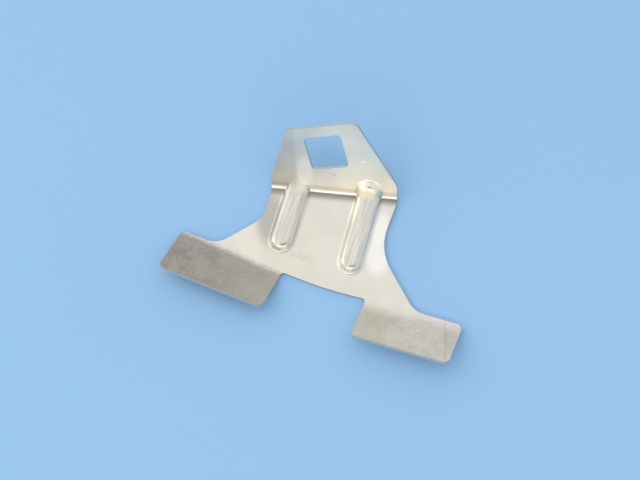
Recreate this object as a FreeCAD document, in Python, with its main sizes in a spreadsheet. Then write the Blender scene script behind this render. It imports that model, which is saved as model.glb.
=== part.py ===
import FreeCAD, Part
import math
import os
import Sketcher

# Stamped sheet bracket: a flat waisted body that lies on the ground, an upper flange with a square
# hole folded up at its back edge, two feet bent up in front, and two hollow beads pressed into the
# sheet across the upper fold. One thickness throughout, one piece.
# Millimetres, +Z up. The origin is on the underside of the body, ahead of the middle of the fold,
# +X runs along the fold and +Y points back towards the flange.

doc = FreeCAD.newDocument("Bracket")

sheet = doc.addObject("Spreadsheet::Sheet", "Sizes")
sizes = [
    # sheet and upper fold
    ("sheet_thick", 1.2),
    ("fold_back", 14.0),
    ("fold_width", 42.7),
    ("fold_angle", 60.0),
    ("fold_inside", 2.6),
    # flange outline, measured along the fold and up the slope from it
    ("flange_left_shoulder", 4.2),
    ("flange_left_top_out", 15.6),
    ("flange_left_top_up", 23.8),
    ("flange_right_top_out", 7.8),
    ("flange_right_top_up", 28.9),
    ("flange_right_shoulder", 5.2),
    ("flange_left_round", 2.2),
    ("flange_right_round", 3.0),
    ("flange_shoulder_round", 6.0),
    # square hole
    ("hole_size", 12.7),
    ("hole_round", 1.5),
    ("hole_turn", 12.0),
    ("hole_left", 2.1),
    ("hole_up", 16.4),
    # waisted body, measured from the fold line
    ("left_shoulder_down", 2.5),
    ("left_waist_out", 22.4),
    ("left_waist_down", 11.3),
    ("left_waist_round", 9.0),
    ("left_flare_out", 36.6),
    ("left_flare_down", 22.15),
    ("right_shoulder_down", 2.2),
    ("right_waist_out", 17.9),
    ("right_waist_down", 18.3),
    ("right_waist_round", 18.0),
    ("right_flare_out", 31.9),
    ("right_flare_down", 38.1),
    ("flare_round", 8.0),
    ("shoulder_round", 6.0),
    # front edge of the body between the feet
    ("notch_left_out", 13.1),
    ("notch_left_down", 29.5),
    ("notch_right_out", 15.9),
    ("notch_right_down", 35.75),
    ("notch_bow", 1.0),
    ("notch_bow_round", 140.0),
    ("notch_round", 1.2),
    # feet
    ("foot_round", 2.0),
    ("foot_bend_inside", 8.0),
    ("left_ear_out", 49.1),
    ("left_ear_down", 18.7),
    ("left_foot_turn", 15.0),
    ("left_foot_hinge", 20.1),
    ("left_foot_angle", 20.5),
    ("left_foot_reach", 14.1),
    ("right_ear_out", 47.9),
    ("right_ear_down", 41.1),
    ("right_foot_turn", 10.8),
    ("right_foot_hinge", 5.8),
    ("right_foot_angle", 24.0),
    ("right_foot_reach", 13.7),
    # pressed beads
    ("bead_width", 8.8),
    ("bead_height", 2.3),
    ("bead_flank", 30.0),
    ("bead_crest_round", 2.4),
    ("bead_foot_round", 1.0),
    ("left_bead_turn", 8.0),
    ("left_bead_out", 12.2),
    ("left_bead_down", 22.8),
    ("right_bead_turn", 6.8),
    ("right_bead_out", 12.1),
    ("right_bead_down", 27.9),
    ("right_bead_up", 6.4),
]
for row, (name, value) in enumerate(sizes, start=1):
    sheet.set("A%d" % row, name)
    sheet.set("B%d" % row, str(value))
    sheet.setAlias("B%d" % row, name)
doc.recompute()


names = [name for name, value in sizes]


# A formula written with the sheet's own names, as the other objects need it.
def tied(formula):
    words = []
    word = ""
    for letter in formula + " ":
        if letter.isalnum() or letter == "_":
            word += letter
        else:
            words.append("Sizes." + word if word in names else word)
            words.append(letter)
            word = ""
    return "".join(words).strip()


def value_of(formula):
    answer = sheet.evalExpression(tied(formula))
    return float(getattr(answer, "Value", answer))


def plane(body, role):
    return [p for p in body.Origin.OriginFeatures if p.Role == role][0]


def new_body(name):
    return doc.addObject("PartDesign::Body", name)


def new_sketch(body, name, role):
    sketch = body.newObject("Sketcher::SketchObject", name)
    sketch.AttachmentSupport = (plane(body, role), [""])
    sketch.MapMode = "FlatFace"
    return sketch


def place(thing, formula):
    thing.setExpression("Placement", tied(formula))


# Arc of less than half a turn between two points, always counter-clockwise, with the number of the
# end that lies at the first point.
def add_arc(sketch, centre, a, b):
    ring = Part.Circle(centre, FreeCAD.Vector(0, 0, 1), (a - centre).Length)
    at_a = math.atan2(a.y - centre.y, a.x - centre.x)
    at_b = math.atan2(b.y - centre.y, b.x - centre.x)
    if (at_b - at_a) % (2 * math.pi) < math.pi:
        return sketch.addGeometry(Part.ArcOfCircle(ring, at_a, at_b), False), 1
    return sketch.addGeometry(Part.ArcOfCircle(ring, at_b, at_a), False), 2


# Closed outline through the given corners. Each corner is (x, y, radius) in formulas on the sheet's
# names; an empty radius leaves it sharp. A rounded corner keeps its sharp point as a construction
# point on both of its sides.
def outline(sketch, corners):
    count = len(corners)
    points = [FreeCAD.Vector(value_of(x), value_of(y), 0) for x, y, r in corners]
    starts = []
    ends = []
    arcs = []
    for i in range(count):
        here = points[i]
        before = (points[i - 1] - here).normalize()
        after = (points[(i + 1) % count] - here).normalize()
        if not corners[i][2]:
            starts.append(here)
            ends.append(here)
            arcs.append(None)
            continue
        radius = value_of(corners[i][2])
        half = before.getAngle(after) / 2
        reach = radius / math.tan(half)
        a = here + before * reach
        b = here + after * reach
        middle = (before + after).normalize()
        centre = here + middle * (radius / math.sin(half))
        starts.append(a)
        ends.append(b)
        arcs.append((a, b, centre, radius))
    sides = []
    for i in range(count):
        j = (i + 1) % count
        sides.append(sketch.addGeometry(Part.LineSegment(ends[i], starts[j]), False))
    for i in range(count):
        side_in = sides[i - 1]
        side_out = sides[i]
        x, y, r = corners[i]
        if arcs[i] is None:
            sketch.addConstraint(Sketcher.Constraint("Coincident", side_in, 2, side_out, 1))
            held = (side_out, 1)
        else:
            a, b, centre, radius = arcs[i]
            index, near = add_arc(sketch, centre, a, b)
            sketch.addConstraint(Sketcher.Constraint("Tangent", side_in, 2, index, near))
            sketch.addConstraint(Sketcher.Constraint("Tangent", side_out, 1, index, 3 - near))
            number = sketch.addConstraint(Sketcher.Constraint("Radius", index, radius))
            sketch.setExpression("Constraints[%d]" % number, tied(r))
            corner = sketch.addGeometry(Part.Point(points[i]), True)
            sketch.addConstraint(Sketcher.Constraint("PointOnObject", corner, 1, side_in))
            sketch.addConstraint(Sketcher.Constraint("PointOnObject", corner, 1, side_out))
            held = (corner, 1)
        for kind, formula, number in (("DistanceX", x, points[i].x), ("DistanceY", y, points[i].y)):
            done = Sketcher.Constraint(kind, -1, 1, held[0], held[1], number)
            index = sketch.addConstraint(done)
            sketch.setExpression("Constraints[%d]" % index, tied(formula))
    doc.recompute()


def pad(body, sketch, name, length, both=False, back=False):
    feature = body.newObject("PartDesign::Pad", name)
    feature.Profile = sketch
    feature.Length = value_of(length)
    feature.setExpression("Length", tied(length))
    feature.Midplane = both
    feature.Reversed = back
    sketch.Visibility = False
    return feature


def block(name, size_x, size_y, size_z, placement):
    box = doc.addObject("Part::Box", name)
    box.setExpression("Length", tied(size_x))
    box.setExpression("Width", tied(size_y))
    box.setExpression("Height", tied(size_z))
    place(box, placement)
    return box


def join(name, shapes):
    fused = doc.addObject("Part::MultiFuse", name)
    fused.Shapes = shapes
    return fused


def common(name, shapes):
    shared = doc.addObject("Part::MultiCommon", name)
    shared.Shapes = shapes
    return shared


def cut(name, base, tool):
    left = doc.addObject("Part::Cut", name)
    left.Base = base
    left.Tool = tool
    return left


# Body and feet seen from above
plan_body = new_body("Plan")
plan = new_sketch(plan_body, "PlanOutline", "XY_Plane")
left_reach = "(left_foot_reach + 4)"
right_reach = "(right_foot_reach + 4)"
outline(
    plan,
    [
        ("-fold_width / 2", "fold_back + 2", ""),
        ("-fold_width / 2", "fold_back - left_shoulder_down", "shoulder_round"),
        ("-left_waist_out", "fold_back - left_waist_down", "left_waist_round"),
        ("-left_flare_out", "fold_back - left_flare_down", "flare_round"),
        ("-left_ear_out", "fold_back - left_ear_down", "foot_round"),
        (
            "-left_ear_out - %s * sin(left_foot_turn)" % left_reach,
            "fold_back - left_ear_down - %s * cos(left_foot_turn)" % left_reach,
            "",
        ),
        (
            "-notch_left_out - %s * sin(left_foot_turn)" % left_reach,
            "fold_back - notch_left_down - %s * cos(left_foot_turn)" % left_reach,
            "",
        ),
        ("-notch_left_out", "fold_back - notch_left_down", "notch_round"),
        (
            "(notch_right_out - notch_left_out) / 2",
            "fold_back - (notch_left_down + notch_right_down) / 2 - notch_bow",
            "notch_bow_round",
        ),
        ("notch_right_out", "fold_back - notch_right_down", "notch_round"),
        (
            "notch_right_out - %s * sin(right_foot_turn)" % right_reach,
            "fold_back - notch_right_down - %s * cos(right_foot_turn)" % right_reach,
            "",
        ),
        (
            "right_ear_out - %s * sin(right_foot_turn)" % right_reach,
            "fold_back - right_ear_down - %s * cos(right_foot_turn)" % right_reach,
            "",
        ),
        ("right_ear_out", "fold_back - right_ear_down", "foot_round"),
        ("right_flare_out", "fold_back - right_flare_down", "flare_round"),
        ("right_waist_out", "fold_back - right_waist_down", "right_waist_round"),
        ("fold_width / 2", "fold_back - right_shoulder_down", "shoulder_round"),
        ("fold_width / 2", "fold_back + 2", ""),
    ],
)
pad(plan_body, plan, "PlanPad", "2 * (left_foot_reach + right_foot_reach)", both=True)

# Flat body: the plan between the start of the fold and the start of each foot's bend
fold_start = "(fold_back - fold_inside * tan(fold_angle / 2))"
slab = block(
    "Slab",
    "140",
    "100",
    "sheet_thick",
    "placement(vector(-70; %s - 100; 0); rotation(0; 0; 0))" % fold_start,
)
left_line = (
    "placement(vector(-notch_left_out; fold_back - notch_left_down; 0); "
    "rotation(vector(0; 0; 1); -left_foot_hinge))"
)
right_line = (
    "placement(vector(notch_right_out; fold_back - notch_right_down; 0); "
    "rotation(vector(0; 0; 1); -right_foot_hinge))"
)
shift_out = " * placement(vector(-80; -60; -20); rotation(0; 0; 0))"
left_beyond = block("BeyondLeftBend", "160", "60", "40", left_line + shift_out)
right_beyond = block("BeyondRightBend", "160", "60", "40", right_line + shift_out)
plate = cut("Plate", common("PlanSlab", [plan_body, slab]), join("Beyond", [left_beyond, right_beyond]))


# A foot: the sheet rolled up about its bend and carried on flat, cut to the plan, its end square to
# the sheet
def foot(side, line, outward):
    strip = new_body(side + "Strip")
    place(strip, line)
    profile = new_sketch(strip, side + "StripSection", "YZ_Plane")
    angle = side.lower() + "_foot_angle"
    reach = side.lower() + "_foot_reach"
    # across the hinge: x is the way back, y is up
    over_x = "(-foot_bend_inside * tan(%s / 2) - 2 * %s * cos(%s))" % (angle, reach, angle)
    over_y = "(sheet_thick + 2 * %s * sin(%s))" % (reach, angle)
    outline(
        profile,
        [
            ("sheet_thick", "0", ""),
            ("sheet_thick", "sheet_thick", ""),
            ("-foot_bend_inside * tan(%s / 2)" % angle, "sheet_thick", "foot_bend_inside"),
            (over_x, over_y, ""),
            (
                "%s - sheet_thick * sin(%s)" % (over_x, angle),
                "%s - sheet_thick * cos(%s)" % (over_y, angle),
                "",
            ),
            (
                "-(foot_bend_inside + sheet_thick) * tan(%s / 2)" % angle,
                "0",
                "foot_bend_inside + sheet_thick",
            ),
        ],
    )
    spare = "placement(vector(0; 0; %s); rotation(0; 0; 0))"
    if outward < 0:
        profile.setExpression("AttachmentOffset", spare % "2")
    else:
        profile.setExpression("AttachmentOffset", spare % "-2")
    pad(strip, profile, side + "StripPad", "60", back=(outward < 0))
    foot_face = (
        line
        + " * placement(vector(0; -foot_bend_inside * tan(%s / 2); sheet_thick); " % angle
        + "rotation(vector(1; 0; 0); -%s)) * placement(vector(0; 0; 0); " % angle
        + "rotation(vector(0; 0; 1); %s_foot_hinge - %s_foot_turn))" % (side.lower(), side.lower())
    )
    ending = block(
        side + "FootEnd",
        "160",
        "60",
        "60",
        foot_face + " * placement(vector(-80; -60 - %s; -30); rotation(0; 0; 0))" % reach,
    )
    return cut(side + "Foot", common(side + "FootBlank", [plan_body, strip]), ending), foot_face


left_foot, left_face = foot("Left", left_line, -1)
right_foot, right_face = foot("Right", right_line, 1)

# Upper fold: a sector of sheet across the whole width
fold_body = new_body("Fold")
place(fold_body, "placement(vector(0; %s; 0); rotation(0; 0; 0))" % fold_start)
fold_sketch = new_sketch(fold_body, "FoldSection", "YZ_Plane")
bend = value_of("fold_angle")
inner = value_of("fold_inside")
thick = value_of("sheet_thick")


def on_fold(radius, degrees):
    a = math.radians(degrees)
    return FreeCAD.Vector(radius * math.sin(a), thick + inner - radius * math.cos(a), 0)


add = fold_sketch.addGeometry
con = fold_sketch.addConstraint
middle = FreeCAD.Vector(0, thick + inner, 0)
inside, near = add_arc(fold_sketch, middle, on_fold(inner, 0), on_fold(inner, bend))
outside, near = add_arc(fold_sketch, middle, on_fold(inner + thick, 0), on_fold(inner + thick, bend))
low_end = add(Part.LineSegment(on_fold(inner + thick, 0), on_fold(inner, 0)), False)
high_end = add(Part.LineSegment(on_fold(inner + thick, bend), on_fold(inner, bend)), False)
con(Sketcher.Constraint("Coincident", inside, 3, outside, 3))
con(Sketcher.Constraint("Coincident", low_end, 1, outside, 1))
con(Sketcher.Constraint("Coincident", low_end, 2, inside, 1))
con(Sketcher.Constraint("Coincident", high_end, 1, outside, 2))
con(Sketcher.Constraint("Coincident", high_end, 2, inside, 2))
con(Sketcher.Constraint("Coincident", low_end, 1, -1, 1))
con(Sketcher.Constraint("Vertical", low_end))
con(Sketcher.Constraint("PointOnObject", inside, 3, -2))
con(Sketcher.Constraint("PointOnObject", inside, 3, high_end))
index = con(Sketcher.Constraint("Radius", inside, inner))
fold_sketch.setExpression("Constraints[%d]" % index, tied("fold_inside"))
index = con(Sketcher.Constraint("DistanceY", low_end, 1, low_end, 2, thick))
fold_sketch.setExpression("Constraints[%d]" % index, tied("sheet_thick"))
index = con(Sketcher.Constraint("Angle", low_end, 1, high_end, 1, math.radians(bend)))
fold_sketch.setExpression("Constraints[%d]" % index, tied("fold_angle"))
doc.recompute()
pad(fold_body, fold_sketch, "FoldPad", "fold_width", both=True)

# Flange: drawn on its upper face, y up the slope from the fold line
flange_body = new_body("Flange")
flange_face = (
    "placement(vector(0; fold_back; sheet_thick); rotation(vector(1; 0; 0); fold_angle))"
)
place(flange_body, flange_face)
flange_sketch = new_sketch(flange_body, "FlangeOutline", "XY_Plane")
flange_low = "fold_inside * tan(fold_angle / 2)"
outline(
    flange_sketch,
    [
        ("-fold_width / 2", flange_low, ""),
        ("fold_width / 2", flange_low, ""),
        ("fold_width / 2", "flange_right_shoulder", "flange_shoulder_round"),
        ("flange_right_top_out", "flange_right_top_up", "flange_right_round"),
        ("-flange_left_top_out", "flange_left_top_up", "flange_left_round"),
        ("-fold_width / 2", "flange_left_shoulder", "flange_shoulder_round"),
    ],
)
pad(flange_body, flange_sketch, "FlangePad", "sheet_thick", back=True)

# Square hole with rounded corners, turned in the flange
hole_body = new_body("SquareHole")
place(
    hole_body,
    flange_face + " * placement(vector(-hole_left; hole_up; 0); rotation(vector(0; 0; 1); hole_turn))",
)
hole_sketch = new_sketch(hole_body, "HoleOutline", "XY_Plane")
half = "hole_size / 2"
outline(
    hole_sketch,
    [
        ("-" + half, "-" + half, "hole_round"),
        (half, "-" + half, "hole_round"),
        (half, half, "hole_round"),
        ("-" + half, half, "hole_round"),
    ],
)
pad(hole_body, hole_sketch, "HolePad", "6 * sheet_thick", both=True)

blank = join("Blank", [plate, left_foot, right_foot, fold_body, cut("FlangeBlank", flange_body, hole_body)])
blank.Refine = True

# The two sides of the plane that halves the fold's angle
halving = "placement(vector(0; fold_back; sheet_thick); rotation(vector(1; 0; 0); 90 + fold_angle / 2))"
plate_side = block(
    "PlateSide", "160", "80", "80", halving + " * placement(vector(-80; -40; 0); rotation(0; 0; 0))"
)
flange_side = block(
    "FlangeSide", "160", "80", "80", halving + " * placement(vector(-80; -40; -80); rotation(0; 0; 0))"
)

# Pressed bead, as the outer skin or as the hollow under it, which lies one thickness further in.
# Its half section has its flat crest, a rounded shoulder, a leaning flank and a rounded foot. It is
# padded along the bead and turned about the middle of its rounded end.
lean = "tan(bead_flank)"
skin = "bead_width / 2"
skin_crest = "(bead_width / 2 - bead_height * %s)" % lean
skin_edge = "bead_width / 2 + bead_foot_round * tan(45 - bead_flank / 2) + sheet_thick / 10"
under_base = "(bead_width / 2 - sheet_thick * (1 - sin(bead_flank)) / cos(bead_flank))"
under_crest = "(%s - bead_height * %s)" % (under_base, lean)


def bead_half(hollow):
    if hollow:
        return [
            ("0", "-2 * sheet_thick", ""),
            ("bead_width / 2 + bead_foot_round + sheet_thick", "-2 * sheet_thick", ""),
            ("bead_width / 2 + bead_foot_round + sheet_thick", "-sheet_thick", ""),
            (under_base, "-sheet_thick", "bead_foot_round + sheet_thick"),
            (under_crest, "bead_height - sheet_thick", "bead_crest_round - sheet_thick"),
            ("0", "bead_height - sheet_thick", ""),
        ]
    return [
        ("0", "-sheet_thick / 2", ""),
        (skin_edge, "-sheet_thick / 2", ""),
        (skin_edge, "0", ""),
        (skin, "0", "bead_foot_round"),
        (skin_crest, "bead_height", "bead_crest_round"),
        ("0", "bead_height", ""),
    ]


def mirrored(half_section):
    other = [("-(%s)" % x, y, r) for x, y, r in reversed(half_section) if x != "0"]
    return [c for c in half_section if c[0] != "0"] + other


def bead(name, face, length, hollow):
    body = new_body(name)
    place(body, face)
    # long straight part: section across the bead, padded from beyond the fold down to the middle of
    # the rounded end
    section = new_sketch(body, name + "Section", "XZ_Plane")
    section.setExpression(
        "AttachmentOffset", tied("placement(vector(0; 0; -bead_width); rotation(0; 0; 0))")
    )
    outline(section, mirrored(bead_half(hollow)))
    pad(body, section, name + "Pad", "%s + bead_width / 2" % length)
    doc.recompute()
    # rounded end
    turned = new_sketch(body, name + "EndSection", "YZ_Plane")
    turned.setExpression(
        "AttachmentOffset",
        tied("placement(vector(-(%s - bead_width / 2); 0; 0); rotation(0; 0; 0))" % length),
    )
    outline(turned, [("-(%s)" % x if x != "0" else x, y, r) for x, y, r in bead_half(hollow)])
    spin = body.newObject("PartDesign::Revolution", name + "End")
    spin.Profile = turned
    spin.ReferenceAxis = (turned, ["V_Axis"])
    spin.Angle = 180
    spin.Midplane = True
    doc.recompute()
    return body


# Space in front of the flange's middle plane and of its back face
before_middle = block(
    "BeforeFlangeMiddle",
    "160",
    "120",
    "80",
    flange_face + " * placement(vector(-80; -60; -sheet_thick / 2); rotation(0; 0; 0))",
)
before_back = block(
    "BeforeFlangeBack",
    "160",
    "120",
    "80",
    flange_face + " * placement(vector(-80; -60; -sheet_thick); rotation(0; 0; 0))",
)

# Left bead: runs straight into the flange, which closes its upper end
left_down = (
    "placement(vector(-left_bead_out; fold_back; sheet_thick); "
    "rotation(vector(0; 0; 1); -left_bead_turn))"
)
left_skin = bead("LeftBeadSkin", left_down, "left_bead_down", False)
left_hollow = bead("LeftBeadHollow", left_down, "left_bead_down", True)

# Right bead: longer, turns up across the fold and ends round on the flange
right_down = (
    "placement(vector(right_bead_out; fold_back; sheet_thick); "
    "rotation(vector(0; 0; 1); -right_bead_turn))"
)
right_up = (
    "placement(vector(right_bead_out; fold_back; sheet_thick); "
    "rotation(vector(1; 0; 0); fold_angle))"
    " * placement(vector(0; 0; 0); rotation(vector(0; 0; 1); 180 + right_bead_turn))"
)
right_skin_low = bead("RightBeadSkin", right_down, "right_bead_down", False)
right_skin_top = bead("RightBeadTopSkin", right_up, "right_bead_up", False)
right_hollow_low = bead("RightBeadHollow", right_down, "right_bead_down", True)
right_hollow_top = bead("RightBeadTopHollow", right_up, "right_bead_up", True)

skins = [
    common("LeftRaised", [left_skin, before_middle]),
    common("RightRaisedLower", [right_skin_low, plate_side]),
    common("RightRaisedUpper", [right_skin_top, flange_side]),
]
hollows = [
    common("LeftHollow", [left_hollow, before_back]),
    common("RightHollowLower", [right_hollow_low, plate_side]),
    common("RightHollowUpper", [right_hollow_top, flange_side]),
]

raised = join("Raised", [blank] + skins)
pressed = cut("Pressed", raised, join("Hollows", hollows))
pressed.Refine = True
doc.recompute()

# The finished bracket: the pressed sheet with the outer corners of both feet rounded
bracket = doc.addObject("PartDesign::Body", "BracketBody")
bracket.Label = "bracket"
bracket.BaseFeature = pressed
doc.recompute()
shape = bracket.Shape
corner_edges = []
for face, reach in ((left_face, "left_foot_reach"), (right_face, "right_foot_reach")):
    frame = sheet.evalExpression(tied(face))
    away = value_of(reach)
    for number, edge in enumerate(shape.Edges, start=1):
        if len(edge.Vertexes) != 2 or abs(edge.Length - thick) > 0.3 * thick:
            continue
        ends = [frame.inverse().multVec(v.Point) for v in edge.Vertexes]
        if all(abs(p.y + away) < 1e-3 for p in ends) and abs(ends[0].x - ends[1].x) < thick / 2:
            corner_edges.append("Edge%d" % number)
rounding = bracket.newObject("PartDesign::Fillet", "FootCorners")
rounding.Base = (bracket.Group[0], corner_edges)
rounding.setExpression("Radius", tied("foot_round"))
doc.recompute()

pieces = [bracket]
for thing in doc.Objects:
    if "Invalid" in thing.State or "Error" in thing.State:
        raise RuntimeError("%s is %s" % (thing.Name, thing.State))
for piece in pieces:
    if piece.Shape.isNull() or not piece.Shape.isValid():
        raise RuntimeError("%s has no good shape" % piece.Label)
print("bracket: solids", len(bracket.Shape.Solids), "volume", bracket.Shape.Volume)

os.makedirs("parts", exist_ok=True)
for piece in pieces:
    piece.Shape.exportStep(os.path.join("parts", piece.Label + ".step"))
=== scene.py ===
import math

import bpy
from mathutils import Matrix, Vector

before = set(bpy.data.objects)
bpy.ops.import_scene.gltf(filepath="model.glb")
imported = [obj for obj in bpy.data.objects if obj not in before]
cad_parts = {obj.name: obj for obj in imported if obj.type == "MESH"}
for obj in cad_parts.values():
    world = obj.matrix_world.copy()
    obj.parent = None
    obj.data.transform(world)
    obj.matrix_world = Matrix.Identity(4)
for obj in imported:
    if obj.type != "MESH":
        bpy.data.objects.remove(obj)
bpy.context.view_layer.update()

MM = 0.001

# Places on the bracket, in millimetres
SHEET = 1.2
FOLD_Y = 14.0
FLANGE_FACING = (0, -0.866, 0.5)
LEFT_HINGE = ((-36.6, -8.15), (-13.1, -15.5))
RIGHT_HINGE = ((15.9, -21.75), (31.9, -24.1))
DRAWN_LINE = ((42.16, -26.91), (43.86, -39.81))

# Spots on the bracket: middle and half sizes in millimetres, then the turn in degrees
# Painted highlight: a bright strip on the body right of the right bead
PAINTED_HIGHLIGHT_UPPER = ((17.2, 1.5, SHEET), (4.4, 12, 8), -4)
PAINTED_HIGHLIGHT_LOWER = ((17.5, -7.5, SHEET), (6.0, 9.5, 8), 14)
# Painted shade: a duller strip on the body left of the left bead
PAINTED_SHADE_STRIP = ((-20.0, 3.0, SHEET), (7.5, 16, 8), 8)
# Painted highlight: a brighter column on the flange above the left bead
FLANGE_HIGHLIGHT_SPOT = ((-9.5, 17.5, 8.0), (4.5, 8, 12), 0)
DARK_PATCH = ((-7.9, -9.4, SHEET), (5.5, 2.2, 4), -12)
SPECK = ((0.3, 17.8, 7.8), (0.75, 0.5, 0.8), 0)
DENT = ((10.06, 21.2, 13.65), (0.9, 0.6, 0.9), 0)

# Colours of the metal, and of the painted highlights, painted shade and painted reflections on it
ROLLED_DARK = (0.805, 0.775, 0.69, 1)
ROLLED_PALE = (0.85, 0.825, 0.745, 1)
# Colour of the painted highlight on the body
PAINTED_HIGHLIGHT_COLOUR = (1.0, 0.985, 0.935, 1)
# Colour of the painted shade left of the left bead
PAINTED_SHADE_COLOUR = (0.53, 0.52, 0.475, 1)
BEAD_STREAK = (0.66, 0.645, 0.58, 1)
# Colour of the painted highlight on the flange
FLANGE_HIGHLIGHT_COLOUR = (0.97, 0.955, 0.90, 1)
# Painted reflection: the left part of the flange darker and cooler
FLANGE_COOL_REFLECTION = (0.64, 0.655, 0.64, 1)
# Painted reflection: the right part of the flange warmer and brighter
FLANGE_WARM_REFLECTION = (1.0, 0.93, 0.76, 1)
# Feet colours hold painted shade: darker than the body, and graded along each foot
LEFT_FOOT_SHADED_DARK = (0.33, 0.315, 0.275, 1)
LEFT_FOOT_SHADED_PALE = (0.46, 0.44, 0.385, 1)
LEFT_FOOT_INNER_SHADE = (0.62, 0.59, 0.52, 1)
RIGHT_FOOT_SHADED_DARK = (0.61, 0.585, 0.51, 1)
RIGHT_FOOT_SHADED_PALE = (0.75, 0.725, 0.64, 1)
RIGHT_FOOT_INNER_SHADE = (0.50, 0.48, 0.42, 1)
MARK = (0.30, 0.29, 0.27, 1)
# Colour of the painted shade along the fold
FOLD_SHADE = (0.16, 0.155, 0.15, 1)
TORN_DARK = (0.50, 0.49, 0.46, 1)
TORN_PALE = (0.74, 0.72, 0.68, 1)

# Scratches: the turn of each set in degrees, and a shift that gives it its own pattern
SCRATCH_SETS = ((18, 0.0), (63, 0.31), (-41, 0.57))

# Floor: half its side in metres, how far it lies below the bracket in millimetres, and its colours
FLOOR_HALF = 4.0
FLOOR_DROP = 0.02
PAPER_DARK = (0.35, 0.60, 0.91, 1)
PAPER_PALE = (0.36, 0.61, 0.92, 1)

# Light: the colours of the room, and the edge and core of its overhead gap in degrees from the middle
SKY_LOW = (1.05, 1.02, 0.975, 1)
SKY_HIGH = (1.04, 1.02, 0.985, 1)
SKY_RIGHT = (0.74, 0.77, 0.82, 1)
FRONT_PATCH = (1.30, 1.13, 0.97, 1)
OVERHEAD_GAP = (0.06, 0.06, 0.065, 1)
GAP_FACING = (0.12, -0.50, 0.858)
GAP_EDGE = 26
GAP_CORE = 13
KEY_COLOUR = (1.0, 0.98, 0.95)
LIT_POINT = (0, 0, 0.01)

# Camera, its place in metres and its right and up directions
FOCAL_LENGTH = 69.1
CAMERA_PLACE = (0.06748, -0.13847, 0.37819)
CAMERA_RIGHT = (0.98033, 0.15138, -0.12661)
CAMERA_UP = (-0.09821, 0.93070, 0.35236)


class Nodes:
    """Adds shader nodes to one tree and links them."""

    def __init__(self, tree):
        self.tree = tree
        tree.nodes.clear()

    def set(self, socket, value):
        if isinstance(value, bpy.types.NodeSocket):
            self.tree.links.new(value, socket)
        else:
            socket.default_value = value

    def add(self, kind, inputs=None, **settings):
        node = self.tree.nodes.new(kind)
        for name, value in settings.items():
            setattr(node, name, value)
        for name, value in (inputs or {}).items():
            self.set(node.inputs[name], value)
        return node

    def math(self, operation, first, second=0.0, third=0.0):
        node = self.add("ShaderNodeMath", {0: first, 1: second, 2: third}, operation=operation)
        return node.outputs[0]

    def vector(self, operation, first, second, output="Vector"):
        node = self.add("ShaderNodeVectorMath", {0: first, 1: second}, operation=operation)
        return node.outputs[output]

    def ramp(self, value, low, high, at_low=0.0, at_high=1.0):
        """A smooth step from at_low to at_high as the value goes from low to high."""
        limits = {"Value": value, "From Min": low, "From Max": high, "To Min": at_low, "To Max": at_high}
        node = self.add("ShaderNodeMapRange", limits, interpolation_type="SMOOTHSTEP")
        return node.outputs["Result"]

    def mix(self, factor, first, second):
        """A colour between two colours."""
        node = self.add("ShaderNodeMix", data_type="RGBA")
        self.set(node.inputs["Factor"], factor)
        self.set(node.inputs[6], first)
        self.set(node.inputs[7], second)
        return node.outputs[2]

    def blend(self, factor, first, second):
        """A number between two numbers."""
        node = self.add("ShaderNodeMix", data_type="FLOAT")
        self.set(node.inputs["Factor"], factor)
        self.set(node.inputs[2], first)
        self.set(node.inputs[3], second)
        return node.outputs[0]

    def turned(self, point, degrees):
        node = self.add("ShaderNodeVectorRotate", {"Vector": point, "Angle": math.radians(degrees)},
                        rotation_type="Z_AXIS")
        return node.outputs[0]

    def noise(self, point, scale, detail=3.0, roughness=0.5, stretch=(1, 1, 1), turn=0.0):
        """Noise with grains 1/scale apart, stretched along axes turned by so many degrees from Y to X."""
        mapping = self.add("ShaderNodeMapping", {"Vector": self.turned(point, turn), "Scale": stretch})
        node = self.add("ShaderNodeTexNoise", {"Vector": mapping.outputs[0], "Scale": scale,
                                               "Detail": detail, "Roughness": roughness})
        return node.outputs["Fac"]


def new_material(name):
    material = bpy.data.materials.new(name)
    material.use_nodes = True
    return material, Nodes(material.node_tree)


def line_side(n, x, y, start, end):
    """Distance in metres from the line start-end in plan, positive to its right."""
    along = Vector((end[0] - start[0], end[1] - start[1])).normalized()
    across = (along.y, -along.x)
    offset = -(across[0] * start[0] + across[1] * start[1]) * MM
    return n.math("MULTIPLY_ADD", y, across[1], n.math("MULTIPLY_ADD", x, across[0], offset))


def spot(n, point, centre, size, turn):
    """1 in the middle of an ellipsoid, falling to 0 at its edge."""
    shifted = n.vector("ADD", point, [-c * MM for c in centre])
    scaled = n.vector("MULTIPLY", n.turned(shifted, -turn), [1 / (c * MM) for c in size])
    far = n.add("ShaderNodeVectorMath", {0: scaled}, operation="LENGTH").outputs["Value"]
    return n.ramp(far, 0.0, 1.0, at_low=1.0, at_high=0.0)


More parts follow.
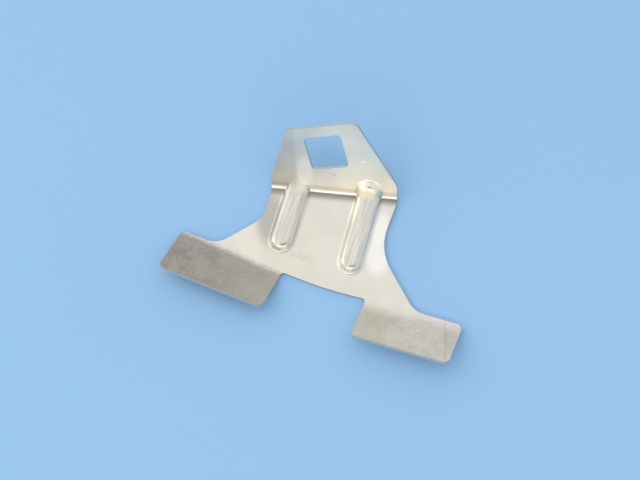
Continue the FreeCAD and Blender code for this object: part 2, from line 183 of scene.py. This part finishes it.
class Sheet:
    """The shaded point of the bracket, and the masks and noises that its looks share."""

    def __init__(self, n):
        self.n = n
        self.point = n.add("ShaderNodeTexCoord").outputs["Object"]
        split = n.add("ShaderNodeSeparateXYZ", {0: self.point})
        self.x, self.y, self.z = split.outputs[0], split.outputs[1], split.outputs[2]
        self.find_feet()
        self.find_beads_and_flange()
        self.find_strips()
        self.find_sheared_edges()
        self.cloud = n.noise(self.point, 85)
        self.grain = n.noise(self.point, 1500, stretch=(1, 0.06, 0.4), turn=4)
        self.scratches = self.find_scratches()

    def find_feet(self):
        """The feet with a ragged border along each bend, and their mottle from patches to specks."""
        n = self.n
        self.ragged = n.noise(self.point, 700, detail=4, roughness=0.65)
        wander = n.math("MULTIPLY_ADD", self.ragged, 2.4 * MM, -1.2 * MM)
        left = n.math("ADD", line_side(n, self.x, self.y, *LEFT_HINGE), wander)
        right = n.math("ADD", line_side(n, self.x, self.y, *RIGHT_HINGE), wander)
        left_side = n.ramp(self.x, -11 * MM, -13 * MM)
        right_side = n.ramp(self.x, 11 * MM, 13 * MM)
        self.left_foot = n.math("MULTIPLY", n.ramp(left, -0.8 * MM, 2.2 * MM), left_side)
        self.right_foot = n.math("MULTIPLY", n.ramp(right, -0.5 * MM, 5.5 * MM), right_side)
        self.feet = n.math("MAXIMUM", self.left_foot, self.right_foot)
        self.mottle = n.noise(self.point, 1100, detail=6, roughness=0.72)
        patch = n.noise(self.point, 190, roughness=0.55)
        self.speckled = n.math("ADD", n.math("MULTIPLY", self.mottle, 0.55), n.math("MULTIPLY", patch, 0.45))

    def find_beads_and_flange(self):
        """Where the beads stand up from the sheet, the darker streaks along them, and the sheet above the
        fold.
        """
        n = self.n
        level = n.math("MULTIPLY", n.ramp(self.z, 1.35 * MM, 1.9 * MM), n.ramp(self.y, 13.0 * MM, 12.0 * MM))
        self.beads = n.math("MULTIPLY", level, n.math("SUBTRACT", 1.0, self.feet))
        lines = n.noise(self.point, 1700, detail=2, stretch=(1, 0.04, 0.4), turn=8.4)
        self.streaks = n.math("MULTIPLY", lines, self.beads)
        self.above = n.ramp(n.math("MULTIPLY_ADD", self.y, 0.5, self.z), 9.5 * MM, 10.5 * MM)

    def find_strips(self):
        """The painted highlight right of the right bead and the painted shade in a dull strip left of the
        left bead.
        """
        n = self.n
        bright = n.math("MAXIMUM", spot(n, self.point, *PAINTED_HIGHLIGHT_UPPER), spot(n, self.point, *PAINTED_HIGHLIGHT_LOWER))
        self.bright = n.math("MULTIPLY", n.ramp(bright, 0.0, 0.75), n.math("SUBTRACT", 1.0, self.beads))
        self.painted_shade = n.ramp(spot(n, self.point, *PAINTED_SHADE_STRIP), 0.0, 0.75, at_high=0.95)

    def find_sheared_edges(self):
        """The cut edges of the sheet, where the true normal lies in the sheet."""
        n = self.n
        facing = n.add("ShaderNodeNewGeometry").outputs["True Normal"]
        flat = n.vector("DOT_PRODUCT", facing, (0, 0, 1), "Value")
        slope = n.vector("DOT_PRODUCT", facing, FLANGE_FACING, "Value")
        run, rise = -FLANGE_FACING[1], FLANGE_FACING[2]
        past_fold = n.math("MULTIPLY_ADD", self.z, rise, -(FOLD_Y * run + SHEET * rise) * MM)
        past_fold = n.math("MULTIPLY_ADD", self.y, run, past_fold)
        on_flange = n.math("GREATER_THAN", past_fold, 0.0)
        across = n.math("ABSOLUTE", n.blend(on_flange, flat, slope))
        self.sheared = n.ramp(across, 0.38, 0.44, at_low=1, at_high=0)
        self.torn = n.noise(self.point, 2600)

    def find_scratches(self):
        """A few fine lines each way."""
        n = self.n
        found = 0.0
        for turn, shift in SCRATCH_SETS:
            moved = n.vector("ADD", self.point, (shift, shift, shift))
            strand = n.noise(moved, 900, detail=1, stretch=(1, 0.035, 0.3), turn=turn)
            found = n.math("MAXIMUM", found, n.ramp(strand, 0.70, 0.74))
        return found


def body_colour(n, sheet):
    """Warm grey, clouded, with a painted highlight strip, a painted shade strip and darker streaks along the
    beads.
    """
    colour = n.mix(n.ramp(sheet.cloud, 0.34, 0.66), ROLLED_DARK, ROLLED_PALE)
    # Painted highlight right of the right bead
    colour = n.mix(sheet.bright, colour, PAINTED_HIGHLIGHT_COLOUR)
    # Painted shade left of the left bead
    colour = n.mix(sheet.painted_shade, colour, PAINTED_SHADE_COLOUR)
    return n.mix(n.ramp(sheet.streaks, 0.42, 0.60, at_high=0.8), colour, BEAD_STREAK)


def flange_colour(n, sheet, colour):
    """Painted light on the flange: a painted highlight in a column above the left bead, a cooler painted
    reflection to its left and a warmer one to the right.
    """
    # Painted highlight in a column above the left bead
    painted_flange_highlight = n.ramp(spot(n, sheet.point, *FLANGE_HIGHLIGHT_SPOT), 0.0, 0.7)
    colour = n.mix(n.math("MULTIPLY", painted_flange_highlight, sheet.above), colour, FLANGE_HIGHLIGHT_COLOUR)
    # Painted reflection, darker and cooler on the left of the flange
    painted_cool_reflection = n.math("MULTIPLY", n.ramp(sheet.x, -11.6 * MM, -13.8 * MM), sheet.above)
    colour = n.mix(n.math("MULTIPLY", painted_cool_reflection, 0.65), colour, FLANGE_COOL_REFLECTION)
    # Painted reflection, warmer on the right of the flange
    painted_warm_reflection = n.math("MULTIPLY", n.ramp(sheet.x, -3 * MM, 5 * MM), sheet.above)
    painted_warm_reflection = n.math("MULTIPLY", painted_warm_reflection, n.ramp(sheet.z, 23 * MM, 17 * MM))
    return n.mix(painted_warm_reflection, colour, FLANGE_WARM_REFLECTION)


def feet_colour(n, sheet, colour):
    """Mottled, with painted shade: darker than the body, the left foot darkest at its outer end, the right
    one at its inner end.
    """
    # Painted shade on both feet, graded along each foot
    even = n.ramp(sheet.speckled, 0.39, 0.61)
    left = n.mix(even, LEFT_FOOT_SHADED_DARK, LEFT_FOOT_SHADED_PALE)
    left = n.mix(n.ramp(sheet.x, -48 * MM, -16 * MM, at_high=0.42), left, LEFT_FOOT_INNER_SHADE)
    right = n.mix(even, RIGHT_FOOT_SHADED_DARK, RIGHT_FOOT_SHADED_PALE)
    right = n.mix(n.ramp(sheet.x, 19 * MM, 33 * MM, at_low=0.3, at_high=0.0), right, RIGHT_FOOT_INNER_SHADE)
    return n.mix(sheet.right_foot, n.mix(sheet.left_foot, colour, left), right)


def marked_colour(n, sheet, colour):
    """A line across the right foot, a darker patchy spot in front of the left bead and a speck on the flange.
    """
    wander = n.math("MULTIPLY_ADD", sheet.ragged, 0.8 * MM, -0.4 * MM)
    line = n.math("ABSOLUTE", n.math("ADD", line_side(n, sheet.x, sheet.y, *DRAWN_LINE), wander))
    line = n.ramp(line, 0.1 * MM, 0.6 * MM, at_low=1, at_high=0)
    drawn = n.math("MULTIPLY", line, n.ramp(sheet.x, 38 * MM, 40 * MM))
    dark_patch = n.math("MULTIPLY", spot(n, sheet.point, *DARK_PATCH), n.ramp(sheet.mottle, 0.35, 0.6))
    marks = n.math("MAXIMUM", n.math("MULTIPLY", drawn, 0.15), n.math("MULTIPLY", dark_patch, 0.25))
    marks = n.math("MAXIMUM", marks, n.math("MULTIPLY", spot(n, sheet.point, *SPECK), 0.5))
    return n.mix(marks, colour, MARK)


def fold_colour(n, sheet, colour):
    """Painted shade in the crease of the fold: a dark line on the body side of the fold and a fainter one on
    its flange side.
    """
    shade_below_fold = n.math("MULTIPLY", n.ramp(sheet.y, 10.6 * MM, 13.0 * MM), n.ramp(sheet.y, 13.8 * MM, 13.5 * MM))
    shade_below_fold = n.math("MULTIPLY", shade_below_fold, n.ramp(sheet.z, 2.0 * MM, 1.5 * MM))
    shade_above_fold = n.math("MULTIPLY", n.ramp(sheet.y, 14.2 * MM, 14.6 * MM), n.ramp(sheet.z, 3.9 * MM, 2.9 * MM))
    lines = n.math("MAXIMUM", n.math("MULTIPLY", shade_below_fold, 0.68), n.math("MULTIPLY", shade_above_fold, 0.22))
    return n.mix(lines, colour, FOLD_SHADE)


def roughness(n, sheet):
    """Rolled grain on the body, duller and uneven on the feet, smoother on the painted highlight strip."""
    rough = n.math("MULTIPLY_ADD", sheet.grain, 0.08, 0.24)
    rough = n.math("MULTIPLY_ADD", n.ramp(sheet.cloud, 0.3, 0.7), 0.05, rough)
    rough = n.blend(sheet.feet, rough, n.math("MULTIPLY_ADD", sheet.speckled, 0.3, 0.40))
    rough = n.math("MULTIPLY_ADD", sheet.scratches, 0.04, rough)
    rough = n.math("MULTIPLY_ADD", sheet.bright, -0.07, rough)
    return n.math("MAXIMUM", rough, n.math("MULTIPLY", sheet.sheared, 0.42))


def relief(n, sheet):
    """Grain everywhere, pitting on the feet, streaks along the beads, torn edges, a dent, and slow waves in
    the sheet.
    """
    dust = n.noise(sheet.point, 4200, detail=2)
    height = n.math("MULTIPLY_ADD", sheet.grain, 0.4, n.math("MULTIPLY", dust, 0.15))
    for share, depth in ((n.math("MULTIPLY", sheet.mottle, sheet.feet), 2.0),
                         (spot(n, sheet.point, *DENT), -14.0),
                         (sheet.scratches, -0.5),
                         (sheet.streaks, 2.5),
                         (n.math("MULTIPLY", sheet.torn, sheet.sheared), 3.0)):
        height = n.math("MULTIPLY_ADD", share, depth, height)
    fine = n.add("ShaderNodeBump", {"Height": height, "Strength": 0.25, "Distance": 0.02 * MM})
    waves = n.add("ShaderNodeBump", {"Height": n.noise(sheet.point, 48, detail=1), "Strength": 1.0,
                                     "Distance": 0.9 * MM, "Normal": fine.outputs[0]})
    return waves.outputs[0]


def steel(name):
    material, n = new_material(name)
    sheet = Sheet(n)
    colour = body_colour(n, sheet)
    for part in (flange_colour, feet_colour, marked_colour, fold_colour):
        colour = part(n, sheet, colour)
    colour = n.mix(sheet.sheared, colour, n.mix(sheet.torn, TORN_DARK, TORN_PALE))
    shader = n.add("ShaderNodeBsdfPrincipled", {"Base Color": colour, "Metallic": 1.0,
                                                "Roughness": roughness(n, sheet), "Normal": relief(n, sheet)})
    n.add("ShaderNodeOutputMaterial", {"Surface": shader.outputs[0]})
    return material


def paper(name):
    material, n = new_material(name)
    point = n.add("ShaderNodeTexCoord").outputs["Object"]
    tint = n.mix(n.noise(point, 9, detail=1), PAPER_DARK, PAPER_PALE)
    shader = n.add("ShaderNodeBsdfPrincipled", {"Base Color": tint, "Roughness": 0.9,
                                                "Specular IOR Level": 0.1})
    n.add("ShaderNodeOutputMaterial", {"Surface": shader.outputs[0]})
    return material


def stage_plane(name, half):
    mesh = bpy.data.meshes.new(name)
    corners = [(-half, -half, 0), (half, -half, 0), (half, half, 0), (-half, half, 0)]
    mesh.from_pydata(corners, [], [(0, 1, 2, 3)])
    plane = bpy.data.objects.new(name, mesh)
    bpy.context.collection.objects.link(plane)
    return plane


def studio(name):
    """A pale room, dimmer and cooler on the right, with a warm patch low in front and a dim gap overhead."""
    world = bpy.data.worlds.new(name)
    world.use_nodes = True
    n = Nodes(world.node_tree)
    heading = n.add("ShaderNodeTexCoord").outputs["Generated"]
    split = n.add("ShaderNodeSeparateXYZ", {0: heading})
    to_right, to_back, to_top = split.outputs[0], split.outputs[1], split.outputs[2]
    sky = n.mix(n.ramp(to_top, 0.0, 0.95), SKY_LOW, SKY_HIGH)
    sky = n.mix(n.ramp(to_right, -0.9, 0.9), sky, SKY_RIGHT)
    front = n.math("MULTIPLY", n.ramp(to_back, -0.80, -0.95), n.ramp(to_top, 0.35, 0.08))
    sky = n.mix(front, sky, FRONT_PATCH)
    gap = n.vector("DOT_PRODUCT", heading, GAP_FACING, "Value")
    gap = n.ramp(gap, math.cos(math.radians(GAP_EDGE)), math.cos(math.radians(GAP_CORE)))
    sky = n.mix(n.math("MULTIPLY", gap, 0.9), sky, OVERHEAD_GAP)
    background = n.add("ShaderNodeBackground", {"Color": sky, "Strength": 1.0})
    n.add("ShaderNodeOutputWorld", {"Surface": background.outputs[0]})
    return world


def softbox(name, place, width, height, power, colour=(1, 1, 1)):
    """A rectangular lamp that faces the bracket; sizes in metres, power in watts."""
    data = bpy.data.lights.new(name, "AREA")
    data.shape = "RECTANGLE"
    data.size = width
    data.size_y = height
    data.energy = power
    data.color = colour
    lamp = bpy.data.objects.new(name, data)
    bpy.context.collection.objects.link(lamp)
    lamp.location = place
    lamp.rotation_mode = "QUATERNION"
    lamp.rotation_quaternion = (Vector(LIT_POINT) - Vector(place)).to_track_quat("-Z", "Y")


def make_camera(name):
    lens = bpy.data.cameras.new(name)
    lens.sensor_width = 36.0
    lens.lens = FOCAL_LENGTH
    lens.clip_start = 0.01
    lens.clip_end = 20.0
    camera = bpy.data.objects.new(name, lens)
    bpy.context.collection.objects.link(camera)
    right = Vector(CAMERA_RIGHT)
    up = Vector(CAMERA_UP)
    turn = Matrix((right, up, right.cross(up))).transposed().to_4x4()
    camera.matrix_world = Matrix.Translation(CAMERA_PLACE) @ turn
    return camera


sheet_steel = steel("sheet_steel")
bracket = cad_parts["bracket"]
for slot in bracket.material_slots:
    slot.material = sheet_steel

floor = stage_plane("floor", FLOOR_HALF)
floor.location.z = -FLOOR_DROP * MM
floor.data.materials.append(paper("paper"))

bpy.context.scene.world = studio("studio")
softbox("key", (-0.8, 0.1, 0.55), 0.6, 0.5, 0.8, KEY_COLOUR)
softbox("front", (0.0, -0.78, 0.68), 1.2, 0.3, 1.3)

bpy.context.scene.camera = make_camera("camera")
bpy.context.scene.view_settings.view_transform = "Standard"

bpy.context.view_layer.update()
